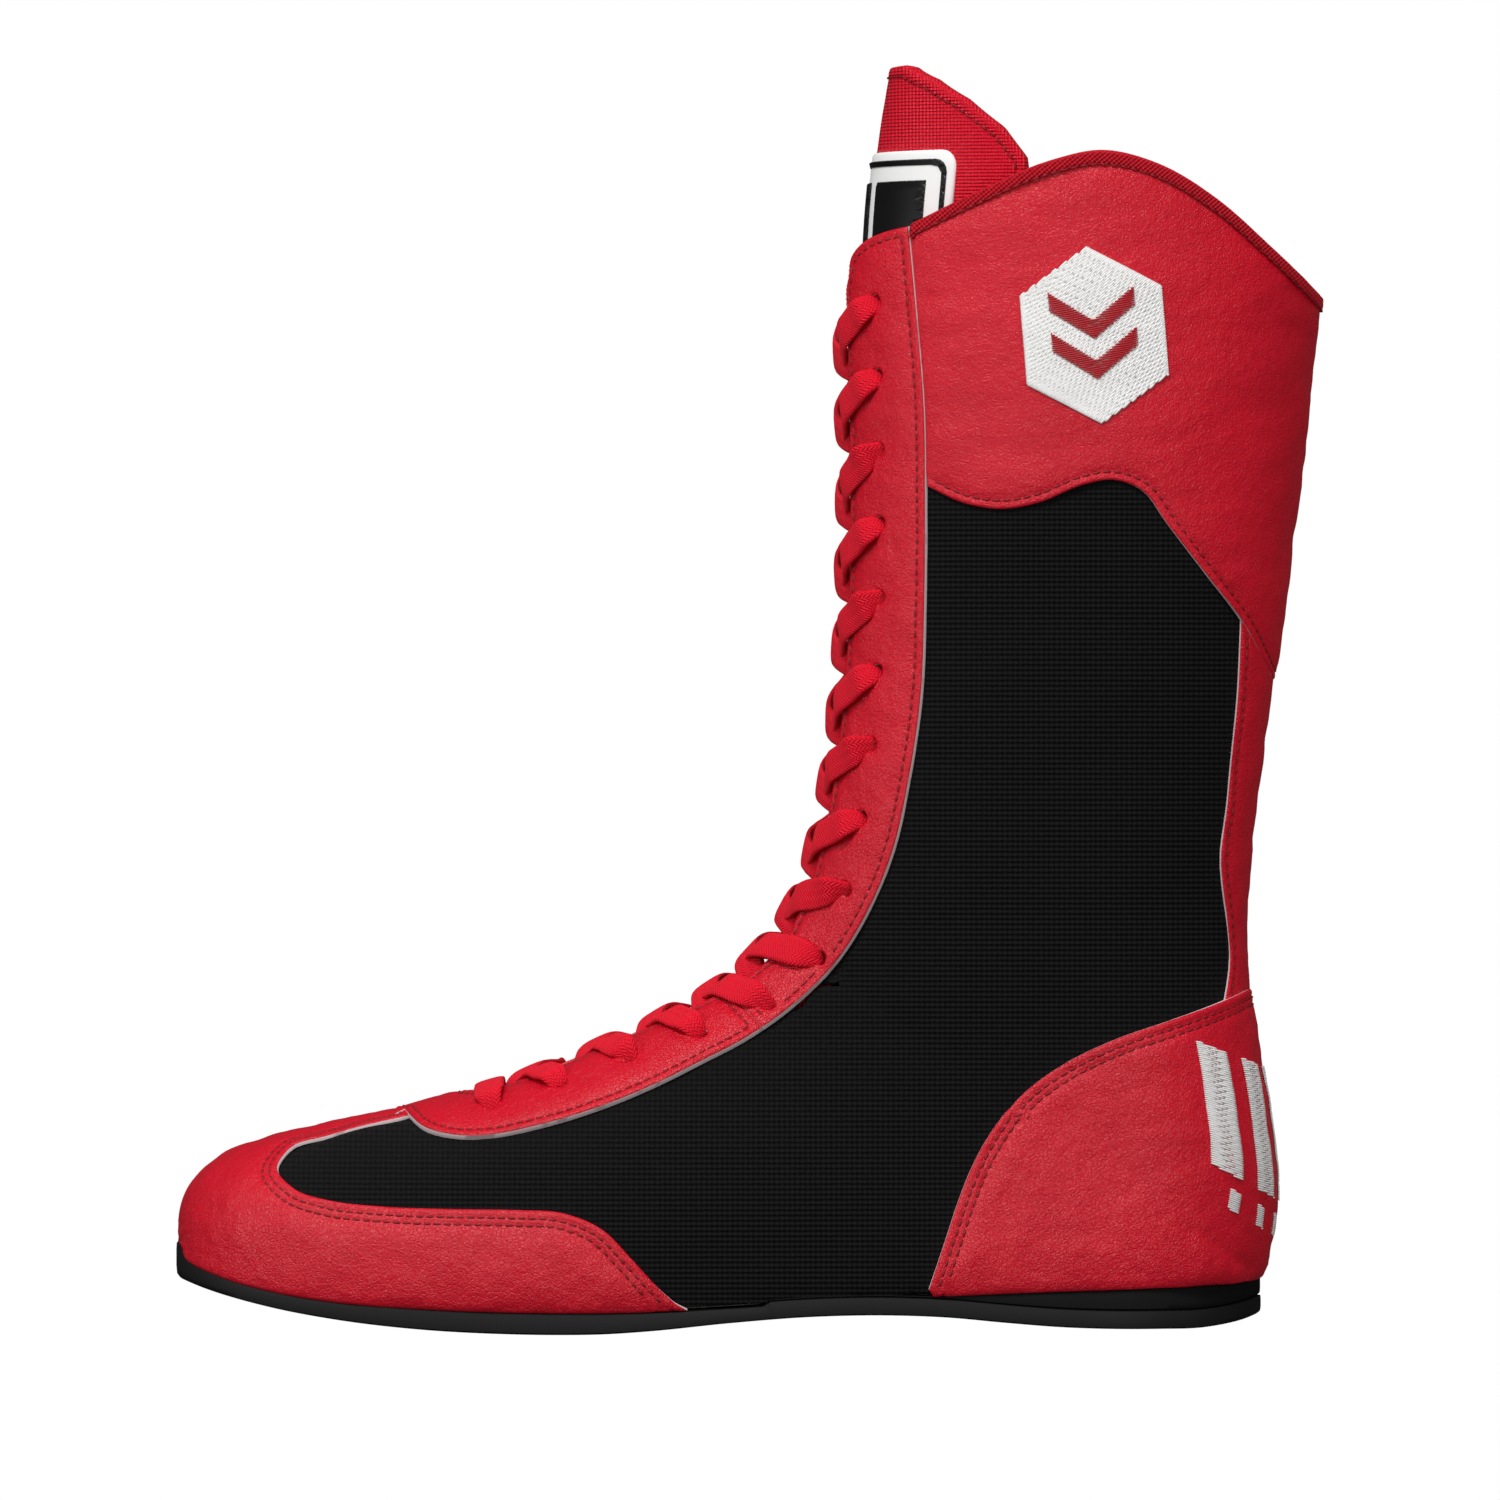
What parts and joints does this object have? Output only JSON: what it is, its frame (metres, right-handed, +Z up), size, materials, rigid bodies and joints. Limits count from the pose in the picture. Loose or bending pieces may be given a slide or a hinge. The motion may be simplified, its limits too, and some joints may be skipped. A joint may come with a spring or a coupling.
{
  "type": "boxing boot",
  "caption": "High-top lace-up boxing boot with leather overlays on a woven upper, a tall tongue and a thin flat rubber sole.",
  "frame": {"origin": "on the sole's flat bottom, on the centre line, below the middle of the shaft", "axes": "+Z up, -X towards the toe, -Y towards the outer (lateral) side of this left boot"},
  "size_m": [0.3003, 0.0971, 0.3332],
  "materials": {
    "sole_rubber": "matt moulded rubber",
    "midsole_foam": "matt foam",
    "board_fibre": "pressed fibre board",
    "sockliner_cloth": "cloth over foam",
    "red_leather": "pebbled synthetic leather, satin",
    "black_textile": "fine plain weave",
    "lining_cloth": "brushed knit",
    "stiffener_board": "hot-melt stiffener sheet",
    "binding_weave": "woven tape",
    "eyelet_webbing": "reinforcing tape",
    "badge_embroidery": "satin-stitch embroidery",
    "tongue_satin": "shiny satin weave",
    "tongue_foam": "open-cell foam",
    "tongue_lining_cloth": "brushed knit",
    "tongue_binding_weave": "woven tape",
    "patch_rubber": "moulded soft rubber",
    "patch_ink": "moulded soft rubber",
    "lace_weave": "flat woven lace",
    "aglet_plastic": "clear-coated plastic tip"
  },
  "bodies": {
    "upper": {"outsole": "sole_rubber", "midsole": "midsole_foam", "insole_board": "board_fibre", "quarter_lateral": "black_textile", "quarter_medial": "black_textile", "lining_lateral": "lining_cloth", "lining_medial": "lining_cloth", "facing_lateral": "red_leather", "facing_medial": "red_leather", "eyelet_tape_lateral": "eyelet_webbing", "eyelet_tape_medial": "eyelet_webbing", "badge_lateral": "badge_embroidery", "badge_medial": "badge_embroidery", "toe_cap": "red_leather", "throat_stay": "red_leather", "collar_panel": "red_leather", "backstay": "red_leather", "heel_cap": "red_leather", "heel_counter": "stiffener_board", "toe_puff": "stiffener_board", "collar_binding": "binding_weave", "heel_badge": "badge_embroidery", "lace": "lace_weave"},
    "tongue": {"tongue": "tongue_satin", "tongue_padding": "tongue_foam", "tongue_lining": "tongue_lining_cloth", "tongue_binding": "tongue_binding_weave", "tongue_patch": "patch_rubber", "tongue_patch_inlay": "patch_ink"},
    "sockliner": {"sockliner": "sockliner_cloth"},
    "lace_end_lateral": {"lace_end_lateral": "lace_weave", "aglet_lateral": "aglet_plastic"},
    "lace_end_medial": {"lace_end_medial": "lace_weave", "aglet_medial": "aglet_plastic"}
  },
  "joints": [
    {"name": "tongue_tilt", "type": "hinge", "parent": "upper", "child": "tongue", "pos_m": [-0.15, 0, 0.058], "axis": [0, 1, 0], "range_deg": [0, 6]},
    {"name": "sockliner_lift", "type": "hinge", "parent": "upper", "child": "sockliner", "pos_m": [-0.231, 0, 0.0192], "axis": [0, -1, 0], "range_deg": [0, 6]},
    {"name": "lace_end_lateral_pull", "type": "slide", "parent": "upper", "child": "lace_end_lateral", "axis": [0, 0, 1], "range_m": [0, 0.06]},
    {"name": "lace_end_medial_pull", "type": "slide", "parent": "upper", "child": "lace_end_medial", "axis": [0, 0, 1], "range_m": [0, 0.06]}
  ]
}
